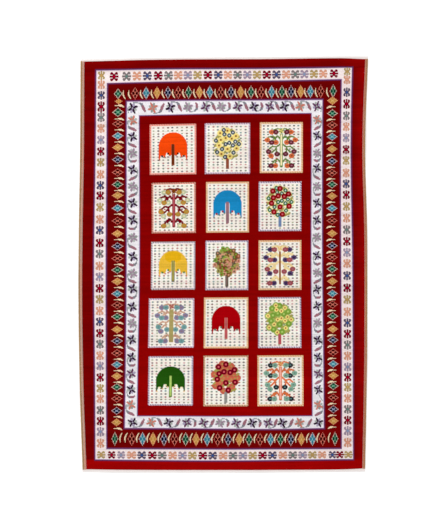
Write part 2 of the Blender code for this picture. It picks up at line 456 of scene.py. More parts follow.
def vine(flowers, leaves, to_chart, turns, mirrored, up_a_side):
    """A vine along one border. to_chart turns (along, outward from its middle) into a stitch.
    The stem rounds a flower on one side, then crosses to the other as a leaf before the next.
    Up a side the leaves point down, and the flowers at the corners belong to the ends."""
    places = list(read_notes(flowers))
    for leaf, (_, low), (_, high) in zip(leaves, places, places[1:]):
        start, gap = (high, low - high) if up_a_side else (low, high - low)
        steps, side = LEAF_SHAPES[leaf]
        if high - low < TIGHT_GAP:
            steps = steps[:STEM_POINTS]
        line = [to_chart(start + share * gap, side * out) for share, out, _ in steps]
        for number, (_, _, width) in enumerate(steps[1:]):
            stroke(line[number:number + 2], width, PART_YARNS[number])
    for letter, place in places[1:-1] if up_a_side else places:
        pinwheel(letter, *to_chart(place, 0), mirrored if letter.islower() else turns)


VINES = [  # flowers, leaves, the way to the chart, turns, turns of small letters, up a side
    ("K33 S29 K29 L29 M26 L27 M27 K26 m24 K26 S28 m", "OIOiOiOiOOO",
     lambda along, out: (81 + along, 590 + out), (20, 118), (65, 152), False),
    ("K30 s28 k30 M27 m27 l26 m26 k26 M23 k28 s31 k", "OIOiOiOiOOO",
     lambda along, out: (84 + along, 75 - out), (60, 155), (18, 118), False),
    ("K28 S25 K26 M27 K29 K27 L27 K30 K25 L28 K31 L29 K28 K27 L28 K27 L27 K27 S19 K",
     "OoOoOiOiOiOiOIIoOOO",
     lambda along, out: (81 - out, 76 + along), (70, 145), (70, 145), True),
    ("K27 S25 K26 M27 K28 K28 L28 k27 k27 L28 K30 L28 K28 K27 L30 K24 L29 K26 S21 M",
     "OsOoOiOiOiIiOiIoOOO",
     lambda along, out: (386 + out, 76 + along), (66, 148), (27, 108), True),
]
for border in VINES:
    vine(*border)
print("flowers:", sum(len(border[0].split()) - 2 * border[-1] for border in VINES))

# %% [markdown]
# ## The garden panels
# The field is a garden of fifteen cream panels. Each has a whipped edge of slanting
# dashes, rows of seed dots, and one of three trees: a dome like a weeping willow, a
# round tree in blossom, and a branching tree with paired fruit. The trees are drawn
# once, in stitches from the panel's middle, and each panel gives them its own yarns.

# %% Panel edge and seed dots
SEED_YARNS = {  # how often each yarn turns up
    "dot pale": 5, "dot green": 4, "dot grey": 4, "dot pink": 4, "dot teal": 3, "dot red": 3,
    "dot wine": 3, "dot purple": 3, "dot navy": 2, "dot black": 3,
}
SEED_BASKET = [name for name, share in SEED_YARNS.items() for _ in range(share)]
SEED = ["ddd", "ddd"]
SEED_COLUMNS = 9
SEED_ROWS = 16
SEED_MARGINS = (6, 7, 5)  # stitches from the panel's left, right, and upper and lower edges
EDGE_DEPTH = 3  # stitches of a whipped edge, and of the dashes in it
DASH_DEPTH = 2
DASH_PITCH = 4
DASH_LENGTH = 2


def whipped_edge(low_col, high_col, low_row, high_row, light, dark):
    """An edge of slanting dashes round a panel."""
    rows, cols = np.mgrid[low_row:high_row + 1, low_col:high_col + 1]
    depth = np.minimum(np.minimum(cols - low_col, high_col - cols),
                       np.minimum(rows - low_row, high_row - rows))
    cells = chart[low_row:high_row + 1, low_col:high_col + 1]
    in_dash = (cols + rows) % DASH_PITCH < DASH_LENGTH
    cells[depth < EDGE_DEPTH] = YARN_NUMBER[light]
    cells[(depth < DASH_DEPTH) & in_dash] = YARN_NUMBER[dark]


def seed_dots(low_col, high_col, low_row, high_row):
    """Rows of single stitched dots in odd ends of yarn."""
    left, right = low_col + SEED_MARGINS[0], high_col - SEED_MARGINS[1]
    bottom, top = low_row + SEED_MARGINS[2], high_row - SEED_MARGINS[2]
    for line in range(SEED_ROWS):
        place_row = bottom + (top - bottom) * line / (SEED_ROWS - 1)
        for place in range(SEED_COLUMNS):
            place_col = left + (right - left) * place / (SEED_COLUMNS - 1)
            yarn = SEED_BASKET[rng.integers(len(SEED_BASKET))]
            stamp(SEED, place_col, place_row, {"d": yarn})


print("dots in a panel:", SEED_COLUMNS * SEED_ROWS)

# %% [markdown]
# The dome is a half circle, so its outline is a formula, and its drip fringe a short
# list of lengths. A round of a second yarn lies in it, and the trunk, its light edge and
# the berries at the fringe are laid on top.

# %% Dome tree
DRIPS = [16, 16, 13, 10, 9, 10, 9, 10, 12, 13, 12, 9, 6, 5, 5, 6, 9, 10, 9, 9, 9, 9, 9, 9]
DOME_RADIUS = 23.6
DOME_HALF_WIDTH = len(DRIPS) - 1
HEART_UP = 15  # the round in the dome: its middle, half width, and half heights
HEART_HALF_WIDTH = 14
HEART_BELOW = 9
HEART_ABOVE = 0.9  # the upper half's height, as a share of the lower one's
DOME_POSTS = [(3, -9, 6), (2, -26, 8), (1, -24, 8)]  # the trunk's halo, the trunk, its heart
BERRIES = [  # stitches out and up, radius, first or second yarn
    (8, -7, 1.7, 0), (5, -10, 1.2, 1), (18, -11, 1.5, 0), (13, -13, 1.3, 1), (22, -17, 1.4, 1),
]


def dome(col, row, yarns):
    """A dome tree. Its last yarn entry is the height of its top above the panel's middle."""
    main, deep, trunk, heart, halo, *berries, height = yarns
    for away in range(-DOME_HALF_WIDTH, DOME_HALF_WIDTH + 1):
        crown = height - DOME_RADIUS + math.sqrt(DOME_RADIUS ** 2 - away ** 2)
        drip = -DRIPS[DOME_HALF_WIDTH - abs(away)]
        block(col + away, col + away, row + drip, int(row + crown), main)
        reach = HEART_BELOW * math.sqrt(max(0.0, 1 - (away / HEART_HALF_WIDTH) ** 2))
        if reach:
            block(col + away, col + away, int(row + HEART_UP - reach),
                  int(row + HEART_UP + reach * HEART_ABOVE), deep)
    for shape, yarn in zip(DOME_POSTS, (halo, trunk, heart)):
        post(col, row, shape, yarn)
    for side in (-1, 1):
        for away, up, radius, which in BERRIES:
            disc(col + away * side, row + up, radius, berries[which])


print("dome fringe:", len(DRIPS), "lengths for half a dome")

# %% [markdown]
# The blossom tree is a loose round crown. Large flowers, small flowers and leaves each
# have their own list of places, in stitches from the panel's middle, so one garden of
# places gives four trees once the yarns change. A fifth is packed with small flowers,
# which sit as seeds do in a sunflower.

# %% Blossom tree
BLOSSOM_RING = whole("""
..KKK..
.KKKKK.
KKKWKKK
KKWWWKK
""".split())
BLOSSOM_EYE = whole("""
..KKKKK..
.KKKKKKK.
KKKKKKKKK
KKKWWWKKK
KKKWWWKKK
""".split())
FIRST_BLOSSOMS = [(0, 30), (-12, 26), (14, 21), (-3, 18), (7, 17), (-11, 15), (-14, 6), (0, 0),
                  (15, 1), (-10, -8), (4, -12)]
SECOND_BLOSSOMS = [(-6, 31), (-5, 24), (3, 22), (9, 27), (-19, 14), (13, 12), (19, 8), (9, 6),
                   (-3, 8), (3, 10), (-9, 0), (-17, -5), (10, -6), (-4, -13)]
LEAVES = [(6, 31), (-17, 20), (-20, 6), (19, 14), (-7, 11), (-19, -1), (6, 3), (12, -1), (-4, -5),
          (10, -13), (15, -11), (-13, 20), (18, 19), (-15, 12), (-6, 4), (4, -4), (15, 6)]
CROWN_REACH = 5.4  # how far the crown's ground goes round each blossom
LEAF_WIDTH = 3.6
BLOSSOM_TRUNK = (2, -32, -10)
DENSE_POSTS = [(2, -34, -8), (0, -32, -10)]
DENSE_UP = 6  # the crown's middle
DENSE_CROWN = ["crown tan", "deep salmon", "leaf olive", "brown", "bark", "crown umber",
               "petal green"]
DENSE_COUNT = 64
DENSE_SPREAD = 2.62  # grows with the root of a flower's number
DENSE_STRETCH = 1.1  # height of the crown to its width
DENSE_RADII = (3.6, 1.5)  # of a flower and of its eye
GOLDEN_TURN = 2.39996  # radians from one flower to the next


def dense_blossom(col, row, yarns):
    """A close crown of small flowers, each a disc of one yarn with an eye of another."""
    pick = np.random.default_rng(12)
    for shape, yarn in zip(DENSE_POSTS, yarns):
        post(col, row, shape, yarn)
    for number in range(DENSE_COUNT):
        reach = DENSE_SPREAD * math.sqrt(number + 0.5)
        away = reach * math.cos(number * GOLDEN_TURN)
        up = DENSE_UP + DENSE_STRETCH * reach * math.sin(number * GOLDEN_TURN)
        for radius, yarn in zip(DENSE_RADII, pick.choice(DENSE_CROWN, 2, replace=False)):
            disc(col + away, row + up, radius, yarn)


def blossom(col, row, yarns):
    """A tree in blossom. It hangs drop stitches below the panel's middle."""
    ground, first, first_eye, second, second_eye, leaf, trunk, rings_on_top, drop = yarns
    row -= drop
    for away, up in FIRST_BLOSSOMS + SECOND_BLOSSOMS:
        disc(col + away, row + up, CROWN_REACH, ground)
    for away, up in LEAVES:
        stroke([(col + away - 1, row + up - 1), (col + away + 1, row + up + 1)], LEAF_WIDTH, leaf)
    post(col, row, BLOSSOM_TRUNK, trunk)
    rings = (SECOND_BLOSSOMS, BLOSSOM_RING, {"K": second, "W": second_eye})
    eyes = (FIRST_BLOSSOMS, BLOSSOM_EYE, {"K": first, "W": first_eye})
    for places, pattern, petals in (eyes, rings) if rings_on_top else (rings, eyes):
        for away, up in places:
            stamp(pattern, col + away, row + up, petals)


print("blossoms on a tree:", len(FIRST_BLOSSOMS) + len(SECOND_BLOSSOMS))

# %% [markdown]
# The branching tree is the same on both sides of its stem, so only the left half is
# written down, as lines of stitches and places of fruit, and each is laid twice.

# %% Branching tree
BRANCHES = [
    [(0, 29), (-6, 31), (-12, 29)],
    [(-3, 15), (-6, 19), (-10, 16), (-14, 19), (-21, 17)],
    [(-10, 16), (-10, 12)],
    [(-12, 16), (-14, 12)],
    [(-3, 5), (-8, 1), (-15, 2), (-21, -3)],
    [(-8, 1), (-10, -3), (-16, -8)],
    [(-9, -2), (-8, -7)],
    [(-3, -23), (-6, -19), (-11, -21), (-15, -26)],
    [(-9, -20), (-10, -26)],
]
FRUIT_PLACES = [(-16, 26), (-9, 26), (-23, 13), (-16, 9), (-9, 9),
                (-21, -6), (-17, -13), (-7, -10), (-17, -29), (-10, -29)]
BY_TURNS = "1212121221"  # which of a tree's two kinds of fruit hangs at each place
DARK_IN_FOUR_PLACES = "1221222112"
TRUNK_SPAN = (-31, 22)
HEART_SPAN = (-29, 21)
TOP_RAYS = 8  # the star at the top: rays, their length and width, and its height
TOP_REACH = 4.6
TOP_WIDTH = 1.6
TOP_UP = 27
TOP_TURN = 12
FRUIT = """
...FFF...
.FFFFFFF.
FFFFFFFFF
FFFEEEFFF
FFFEEEFFF
FFFFFFFFF
.FFFFFFF.
..FFFFF..
""".split()


def branching(col, row, yarns):
    """A branching tree. yarns ends with the branches' width, half the trunk's, and the fruit."""
    branch, trunk, heart, *skins_and_eyes, top, width, half_trunk, kinds = yarns
    for side in (-1, 1):
        for line in BRANCHES:
            stroke([(col - side * away, row + up) for away, up in line], width, branch)
        for kind, skin, eye in zip("12", skins_and_eyes[::2], skins_and_eyes[1::2]):
            for (away, up), letter in zip(FRUIT_PLACES, kinds):
                if letter == kind:
                    stamp(FRUIT, col - side * away, row + up, {"F": skin, "E": eye})
    post(col, row, (half_trunk, *TRUNK_SPAN), trunk)
    post(col, row, (half_trunk - 1, *HEART_SPAN), heart)
    for number in range(TOP_RAYS):
        angle = math.radians(360 / TOP_RAYS * number + TOP_TURN)
        ray(col, row + TOP_UP, angle, (0, TOP_REACH), TOP_WIDTH, top if number % 2 else branch)


print("branches:", 2 * len(BRANCHES), "fruit:", 2 * len(FRUIT_PLACES))

# %% [markdown]
# Now the panels. The list runs down the rug as it is looked at, and the loop goes through
# it backwards, as they were woven: the lowest row first.

# %% Weave the panels
PANELS = [  # column and row of the middle, width, height, two edge yarns, tree, the tree's yarns
    (147, 523, 77, 83, "frame salmon", "frame rose", dome,
     ("orange", "orange", "brown", "dark brown", "deep orange", "oxblood", "brown", 28)),
    (237, 523, 75, 83, "frame pale", "frame mauve", blossom,
     ("crown cream", "petal yellow", "eye brown", "ring blue", "ring white", "leaf olive",
      "brown", True, 1)),
    (326, 524, 71, 83, "frame peach", "frame tan", branching,
     ("stem green", "leaf green", "crown cream", "fruit orange", "brown", "fruit plum",
      "leaf mauve", "petal yellow", 2.4, 2, BY_TURNS)),
    (148, 427, 73, 83, "frame salmon", "frame brown", branching,
     ("stem red", "stem red", "stem pink", "fruit mint", "crown cream", "fruit gold",
      "leaf olive", "eye brown", 3.2, 2, BY_TURNS)),
    (237, 427, 71, 83, "frame peach", "frame tan", dome,
     ("wing blue", "wing blue", "trunk mauve", "trunk mauve", "ring white", "red", "dot green",
      28)),
    (324, 428, 71, 81, "frame pale", "frame violet", blossom,
     ("crown cream", "ring red", "ring pink", "ring green", "ring white", "leaf olive",
      "trunk blue", False, 1)),
    (147, 332, 73, 79, "frame pale", "frame olive", dome,
     ("yellow", "deep yellow", "bark", "leaf olive", "petal yellow", "leaf green", "ring pink",
      25)),
    (236, 332, 71, 81, "frame pale", "frame violet", dense_blossom, ("bark", "trunk mauve")),
    (324, 332, 71, 81, "frame peach", "frame tan", branching,
     ("branch cream", "eye brown", "eye brown", "fruit indigo", "fruit black", "fruit rose",
      "leaf mauve", "gold", 4.0, 1, BY_TURNS)),
    (145, 238, 75, 81, "frame pale", "frame mauve", branching,
     ("branch tan", "trunk olive", "trunk olive", "fruit slate", "trunk mauve", "fruit teal",
      "dot teal", "red", 2.6, 3, BY_TURNS)),
    (235, 238, 73, 83, "frame peach", "frame tan", dome,
     ("crimson", "crimson", "rose", "stem pink", "crimson", "bark", "dark red", 28)),
    (323, 238, 71, 83, "frame pale", "frame violet", blossom,
     ("crown green", "petal green", "petal lime", "petal yellow", "eye red", "leaf olive",
      "stem pink", True, 3)),
    (145, 143, 73, 81, "frame pale", "frame violet", dome,
     ("dark green", "dark green", "leaf green", "petal lime", "deep green", "crown cream",
      "gold", 24)),
    (235, 143, 73, 83, "frame peach", "frame brown", blossom,
     ("crown coral", "dark red", "ring pink", "crown coral", "leaf olive", "leaf olive",
      "trunk grey", False, 3)),
    (324, 143, 75, 83, "frame peach", "frame tan", branching,
     ("fruit orange", "fruit orange", "frame salmon", "fruit black", "dot teal", "fruit sage",
      "grey green", "gold", 3.0, 2, DARK_IN_FOUR_PLACES)),
]

for col, row, width, height, edge_light, edge_dark, tree, tree_yarns in reversed(PANELS):
    sides = (col - width // 2, col + width // 2, row - height // 2, row + height // 2)
    block(*sides, "panel cream")
    seed_dots(*sides)
    whipped_edge(*sides, edge_light, edge_dark)
    tree(col, row, tree_yarns)
print("panels:", len(PANELS))

# %% [markdown]
# ## From the chart to the floor
# A hand-woven rug is never a true rectangle. Its sides bow, its ends lean, and each
# border line wanders as the weaver's beat changes. The edges are a smooth curve through
# a few points, the same ones as in the solid part. The border lines are kept the same
# way, to the nearest millimetre: where a line of the chart lies at five places along
# it. Stitches between two lines share the room evenly.

# %% Edges and border lines
HALF_WIDTH = 0.525
HALF_LENGTH = 0.755
CLOTH_THICKNESS = 0.0040
EDGE_THICKNESS = 0.0030
WEB_THICKNESS = 0.0018
WEB_STEP = 0.0008
BINDING_HEIGHT = 0.0052
LEFT_BINDING_WIDTH = 0.0135
RIGHT_BINDING_WIDTH = 0.0100
CLEARANCE = 0.0003

SIDE_EDGES = np.array([  # height up the rug, left inset, right inset
    (-0.74, 0.0160, 0.0100),
    (-0.42, 0.0055, 0.0040),
    (-0.10, 0.0010, 0.0020),
    (0.15, 0.0030, 0.0035),
    (0.43, 0.0075, 0.0100),
    (0.73, 0.0090, 0.0000),
])
BOTTOM_WEB, BOTTOM_END, TOP_END, TOP_WEB = 1, 2, 3, 4
END_EDGES = np.array([  # place across, then the insets of the four edges named above
    (-0.51, 0.0025, 0.0130, 0.0205, 0.0115),
    (-0.20, 0.0005, 0.0105, 0.0135, 0.0050),
    (0.20, 0.0015, 0.0110, 0.0115, 0.0025),
    (0.42, 0.0030, 0.0125, 0.0085, 0.0005),
    (0.51, 0.0040, 0.0160, 0.0115, 0.0005),
])
LIFTS = [  # place across, height up the rug, reach, lift
    (0.525, 0.450, 0.150, 0.0045), (0.525, 0.080, 0.110, 0.0022), (0.525, -0.330, 0.120, 0.0028),
    (-0.525, 0.560, 0.120, 0.0030), (-0.525, 0.150, 0.100, 0.0018),
    (-0.525, -0.470, 0.130, 0.0032), (-0.300, 0.755, 0.110, 0.0026),
    (0.240, 0.755, 0.120, 0.0034), (0.120, -0.755, 0.110, 0.0026),
    (-0.380, -0.755, 0.100, 0.0022),
]

MILLIMETRE = 0.001
UPRIGHT_HEIGHTS = (-0.72, -0.42, 0.0, 0.42, 0.72)
UPRIGHT_LINES = {  # chart column: millimetres across, at each of the heights above
    19: (-463, -464, -468, -462, -459),
    38: (-423, -425, -426, -423, -421),
    72: (-359, -354, -350, -350, -348),
    91: (-313, -311, -304, -305, -306),
    377: (325, 325, 321, 322, 322),
    396: (367, 365, 360, 360, 362),
    430: (431, 432, 429, 428, 432),
    449: (472, 471, 469, 463, 468),
}
LEVEL_PLACES = (-0.45, -0.20, 0.0, 0.20, 0.42)
LEVEL_LINES = {  # chart row: millimetres up the rug, at each of the places above
    15: (-707, -710, -711, -709, -706),
    33: (-670, -671, -672, -671, -670),
    66: (-593, -594, -596, -597, -592),
    85: (-551, -551, -552, -551, -550),
    581: (537, 543, 547, 548, 550),
    600: (588, 593, 594, 595, 597),
    633: (657, 663, 666, 667, 672),
    651: (703, 707, 708, 709, 713),
}


def through(marks, values, place):
    """The value at a place, on a smooth curve through a few marks."""
    marks, values = np.asarray(marks, float), np.asarray(values, float)
    place = np.clip(place, marks[0], marks[-1])
    number = np.clip(np.searchsorted(marks, place) - 1, 0, len(marks) - 2)
    before, after = np.maximum(number - 1, 0), np.minimum(number + 2, len(marks) - 1)
    length = marks[number + 1] - marks[number]
    share = (place - marks[number]) / length
    leave = length * (values[number + 1] - values[before]) / (marks[number + 1] - marks[before])
    arrive = length * (values[after] - values[number]) / (marks[after] - marks[number])
    step = share * share * (3 - 2 * share)
    bend = share * (1 - share) * (leave * (1 - share) - arrive * share)
    return values[number] + step * (values[number + 1] - values[number]) + bend


def left_edge(y):
    """Where the rug's left side lies across, at a height."""
    return -HALF_WIDTH + through(SIDE_EDGES[:, 0], SIDE_EDGES[:, 1], y)


def right_edge(y):
    """Where the rug's right side lies across, at a height."""
    return HALF_WIDTH - through(SIDE_EDGES[:, 0], SIDE_EDGES[:, 2], y)


def end_edge(x, edge):
    """A cloth end or a web's outer edge, as a height up the rug."""
    side = -1 if edge in (BOTTOM_WEB, BOTTOM_END) else 1
    return side * (HALF_LENGTH - through(END_EDGES[:, 0], END_EDGES[:, edge], x))


def lift(x, y):
    """Height of the underside off the floor, near the rim's few raised places."""
    height = np.zeros(np.broadcast(x, y).shape)
    for place_x, place_y, reach, top in LIFTS:
        share = np.clip(np.hypot(x - place_x, y - place_y) / reach, 0, 1)
        height += top * np.cos(0.5 * np.pi * share) ** 2
    return height


along, across = np.linspace(-1, 1, 201) * HALF_LENGTH, np.linspace(-1, 1, 201) * HALF_WIDTH
OFFSET_X = -(left_edge(along).min() + right_edge(along).max()) / 2
OFFSET_Y = -(end_edge(across, BOTTOM_WEB).min() + end_edge(across, TOP_WEB).max()) / 2


def standing(x, y, z):
    """Points in the frame, which has its origin in the middle of the rug."""
    return np.stack([x + OFFSET_X, y + OFFSET_Y, z], axis=-1)


def line_places(lines, marks, place, first, last):
    """Where the chart's edges and border lines lie at a place, from the first to the last."""
    wandering = [through(marks, values, place) * MILLIMETRE for values in lines.values()]
    return [first] + wandering + [last]


def columns_at(height, clearance=0.0):
    """Where the chart's column edges lie across the rug at a height."""
    first = left_edge(height) + LEFT_BINDING_WIDTH + clearance
    last = right_edge(height) - RIGHT_BINDING_WIDTH - clearance
    return np.interp(np.arange(ACROSS + 1), [0, *UPRIGHT_LINES, ACROSS],
                     line_places(UPRIGHT_LINES, UPRIGHT_HEIGHTS, height, first, last))


def rows_at(place):
    """Where the chart's row edges lie up the rug at a place across."""
    first, last = end_edge(place, BOTTOM_END), end_edge(place, TOP_END)
    return np.interp(np.arange(ALONG + 1), [0, *LEVEL_LINES, ALONG],
                     line_places(LEVEL_LINES, LEVEL_PLACES, place, first, last))


lay_x = np.stack([columns_at(height, CLEARANCE) for height in rows_at(0.0)])
lay_y = np.stack([rows_at(place) for place in columns_at(0.0)], axis=-1)
print("laid cloth:", round(np.ptp(lay_x) * 1000), "by", round(np.ptp(lay_y) * 1000), "mm")

# %% [markdown]
# ## Dye lots, tone by place, and a painted highlight
# Red wool is dyed a basket at a time and no two baskets match, so the ground changes
# tone from row to row. The weaver carries each length of yarn only so far along a row,
# so the tone holds for some tens of stitches and then moves on. This slow change is
# what makes a hand-dyed field look alive. Over it the reds are set lighter or darker by
# place: the field grows darker towards its top, and the band grows lighter towards its lower right
# corner. Each guard has a tone of its own and grows lighter towards the right side
# and the top end. Near the upper right corner the top guard also carries a painted
# highlight. All of it is kept apart from the chart as a share by which each stitch is
# lighter or darker.

# %% Tone of every stitch
def wander(length, reach, amount):
    """A slow random line: one value a stitch, smooth over about reach stitches."""
    marks = np.arange(0, length + reach, reach)
    return np.interp(np.arange(length), marks, rng.normal(0, amount, len(marks)))


ROW_TONES = ((9, 0.045), (3, 0.03))  # how many rows a tone holds, and its usual size
LENGTH_TONE = (34, 0.05)  # the same for a length of yarn along two rows
STITCH_TONE = 0.045
FIELD_TONE = (1.24, -0.46)  # at the foot of the field, and what is added up to its top
BAND_TONE = (0.96, 0.24)  # the band's usual tone, and what is added in its lower right corner
GUARD_TONE = 0.86
LEFT_GUARD, LEFT_TONE = 20, 0.80  # where each side's guard ends, and its tone
RIGHT_GUARD, RIGHT_TONE = 446, 0.78
BOTTOM_GUARD, BOTTOM_TONE = 15, 1.42
TOP_GUARD, TOP_TONE = 651, 0.84
RIGHT_FADE, RIGHT_GAIN = 450, 0.60  # where a guard starts to grow lighter, and by how much
TOP_FADE, TOP_GAIN = 651, 0.26
# painted highlight: the top guard grows lighter from this column towards the upper right corner
CORNER_HIGHLIGHT_FADE, CORNER_HIGHLIGHT_GAIN = 420, 0.30

tone = np.ones((ALONG, ACROSS))
for reach, amount in ROW_TONES:
    tone *= 1 + wander(ALONG, reach, amount)[:, None]
for row in range(0, ALONG, 2):
    tone[row:row + 2] *= 1 + wander(ACROSS, *LENGTH_TONE)[None, :]
tone *= 1 + rng.normal(0, STITCH_TONE, tone.shape)

rows, cols = np.mgrid[0:ALONG, 0:ACROSS]
up_share, across_share = rows / ALONG, cols / ACROSS
right_tone = RIGHT_TONE + RIGHT_GAIN * (cols - RIGHT_FADE) / (ACROSS - RIGHT_FADE)
# the top guard: lighter towards the top end, plus a painted highlight towards the upper right corner
top_tone = (TOP_TONE + TOP_GAIN * (rows - TOP_FADE) / (ALONG - TOP_FADE)
            + CORNER_HIGHLIGHT_GAIN * np.clip((cols - CORNER_HIGHLIGHT_FADE) / (ACROSS - CORNER_HIGHLIGHT_FADE), 0, 1))
guard_tone = np.select(
    [rows >= TOP_GUARD, rows < BOTTOM_GUARD, cols < LEFT_GUARD, cols > RIGHT_GUARD],
    [top_tone, BOTTOM_TONE, LEFT_TONE, right_tone], GUARD_TONE)
for name, change in (("field red", FIELD_TONE[0] + FIELD_TONE[1] * up_share),
                     ("band red", BAND_TONE[0] + BAND_TONE[1] * (1 - up_share) * across_share),
                     ("guard red", guard_tone)):
    dyed = chart == YARN_NUMBER[name]
    tone[dyed] *= change[dyed]
print("tone from", round(tone.min(), 2), "to", round(tone.max(), 2))

# %% [markdown]
# ## The cloth as stitches
# The chart becomes cloth here. Every stitch is one face of a close grid, so
# a stepped line in the chart is a stepped line in the wool. A cloth of three hundred
# thousand stitches is cut along its own border lines into five pieces, as the eye
# divides it. Each is closed: stitches on top, walls round it, and a coarse underside
# which lies on the ground weave. Figured stitches stand a little proud of the ground,
# because their yarn is wound once more round the warps.

# %% Weave the pieces
BACK_STEP = 3  # stitches to one face of an underside
GROUND_STEP = 6  # and to one face of the ground weave's upper side
FIGURE_RELIEF = 0.00028
UNEVEN = 0.00008
SHARP_ANGLE = 48  # degrees: edges sharper than this stay sharp
MIDDLE_ROW = 333
RUG_EDGE = (0, 0)  # stitches in from the side and the end, in threes to suit the underside
STAR_CUT = (39, 36)
DIAMOND_CUT = (72, 66)
FIELD_CUT = (93, 87)

is_ground = np.isin(chart, [YARN_NUMBER[name] for name in GROUND_YARNS])
cell_relief = np.where(is_ground, 0.0, FIGURE_RELIEF) + rng.normal(0, UNEVEN, chart.shape)
padded_relief = np.pad(cell_relief, 1, mode="edge")
beside = padded_relief[:, :-1] + padded_relief[:, 1:]
relief = (beside[:-1] + beside[1:]) / 4
top_height = CLOTH_THICKNESS + relief
top_height[0] = top_height[-1] = EDGE_THICKNESS
top_height[:, 0] = top_height[:, -1] = EDGE_THICKNESS
cloth_lift = lift(lay_x, lay_y)
cloth_top = standing(lay_x, lay_y, cloth_lift + top_height)
cloth_under = standing(lay_x, lay_y, cloth_lift + WEB_THICKNESS)
cloth_floor = standing(lay_x, lay_y, cloth_lift)
stitch_light = np.clip(yarn_light[chart] * tone[..., None], 0, 1)


def show(name, data):
    """A new object in the scene."""
    shown = bpy.data.objects.new(name, data)
    bpy.context.scene.collection.objects.link(shown)
    return shown


def triangles(piece):
    """How many triangles a piece has."""
    return sum(len(face.vertices) - 2 for face in piece.data.polygons)


def mesh_piece(name, points, corners, sizes, light, weave):
    """A mesh from faces of mixed size, with a colour and a place in the weave at each corner."""
    used, corners = np.unique(corners, return_inverse=True)
    starts = np.concatenate([[0], np.cumsum(sizes)[:-1]])
    mesh = bpy.data.meshes.new(name)
    mesh.vertices.add(len(used))
    mesh.vertices.foreach_set("co", points[used].ravel())
    mesh.loops.add(len(corners))
    mesh.loops.foreach_set("vertex_index", corners.astype(np.int32))
    mesh.polygons.add(len(sizes))
    mesh.polygons.foreach_set("loop_start", starts.astype(np.int32))
    mesh.update(calc_edges=True)
    colours = mesh.color_attributes.new("yarn", "FLOAT_COLOR", "CORNER")
    colours.data.foreach_set("color", np.hstack([light, np.ones((len(light), 1))]).ravel())
    mesh.uv_layers.new(name="weave").uv.foreach_set("vector", weave.ravel())
    mesh.shade_smooth()
    mesh.set_sharp_from_angle(angle=math.radians(SHARP_ANGLE))
    return show(name, mesh)


def closed_piece(name, mask, tops, unders, steps, light, flipped=False, pitch=1.0):
    """A closed piece over the cells in mask, which has a cell between every four of the points.
    steps says how many cells each way a face covers, on its top and on its underside. The walls
    join the two along the edge of the mask. A cell's colour is its light."""
    width = mask.shape[1] + 1
    count = (mask.shape[0] + 1) * width
    points = np.concatenate([tops.reshape(-1, 3), unders.reshape(-1, 3)])
    faces = []

    def add(numbers, cell_rows, cell_cols):
        """Faces given by corner numbers, each coloured by one cell."""
        numbers = numbers[:, ::-1] if flipped else numbers
        on_grid = numbers.ravel() % count
        faces.append((numbers.ravel(), np.full(len(numbers), numbers.shape[1]),
                      np.repeat(light[cell_rows, cell_cols], numbers.shape[1], axis=0),
                      np.stack([on_grid % width, on_grid // width], axis=-1) * pitch))

    for step, first_number, turned in ((steps[0], 0, 1), (steps[1], count, -1)):
        cell_rows, cell_cols = np.nonzero(mask[::step, ::step])
        low_row, low_col = cell_rows * step, cell_cols * step
        start = low_row * width + low_col + first_number
        above = start + step * width
        numbers = np.stack([start, start + step, above + step, above], axis=-1)[:, ::turned]
        add(numbers, low_row + step // 2, low_col + step // 2)

    stride = max(steps)
    blocks = mask[::stride, ::stride]
    wide = np.pad(blocks, 1)
    for row_way, col_way, start_row, start_col, run in (
            (-1, 0, 0, 0, 1), (0, 1, 0, 1, width), (1, 0, 1, 1, -1), (0, -1, 1, 0, -width)):
        next_row, next_col = 1 + row_way, 1 + col_way
        neighbour = wide[next_row:next_row + blocks.shape[0], next_col:next_col + blocks.shape[1]]
        cell_rows, cell_cols = np.nonzero(blocks & ~neighbour)
        first = (cell_rows + start_row) * stride * width + (cell_cols + start_col) * stride
        under = [first + run * share + count for share in range(0, stride + 1, steps[1])]
        top = [first + run * share for share in range(stride, -1, -steps[0])]
        inside = steps[1] // 2
        add(np.stack(under + top, axis=-1),
            cell_rows * stride + inside, cell_cols * stride + inside)
    return mesh_piece(name, points, *(np.concatenate(parts) for parts in zip(*faces)))


def between(outer, inner=None):
    """The cells between two rectangles, each given by its stitches in from side and end."""
    mask = np.zeros((ALONG, ACROSS), bool)
    mask[outer[1]:ALONG - outer[1], outer[0]:ACROSS - outer[0]] = True
    if inner:
        mask[inner[1]:ALONG - inner[1], inner[0]:ACROSS - inner[0]] = False
    return mask


field = between(FIELD_CUT)
lower_half = field & (rows < MIDDLE_ROW)
cloth_pieces = [
    closed_piece(name, mask, cloth_top, cloth_under, (1, BACK_STEP), stitch_light)
    for name, mask in (
        ("star_border", between(RUG_EDGE, STAR_CUT)),
        ("diamond_border", between(STAR_CUT, DIAMOND_CUT)),
        ("vine_border", between(DIAMOND_CUT, FIELD_CUT)),
        ("field_lower", lower_half),
        ("field_upper", field & ~lower_half),
    )]
ground_weave = closed_piece("ground_weave", between(RUG_EDGE), cloth_under, cloth_floor,
                            (GROUND_STEP, BACK_STEP), stitch_light)
for piece in cloth_pieces + [ground_weave]:
    print(piece.name, triangles(piece), "triangles")

# %% [markdown]
# ## End webs
# At each end the weaver leaves a finger's width of plain weave in undyed yarn, and
# overcasts its outer edge so that it can't ravel. The web is a thin flat strip. Its
# inner edge lies against the wrapped cloth and its outer edge follows the rug's end.

# %% Plain-woven webs
WEB_COLUMNS = 420
WEB_ROWS = 6
WEB_WHITE = to_light((250, 240, 236))
RAGGED = 0.0003  # how far the outer edge strays, and how often in columns
RAGGED_STEP = 4
TUCK = 0.0001  # the web's upper side stays this far below the cloth's ground weave
WEB_PITCH = 1.1  # beads of plain weave to one column or row


def across_at(edge, margin=0.0):
    """The left and the right end of a line along one of the rug's ends."""
    left, right = end_edge(np.array([-HALF_WIDTH, HALF_WIDTH]), edge)
    return left_edge(left) + margin, right_edge(right) - margin


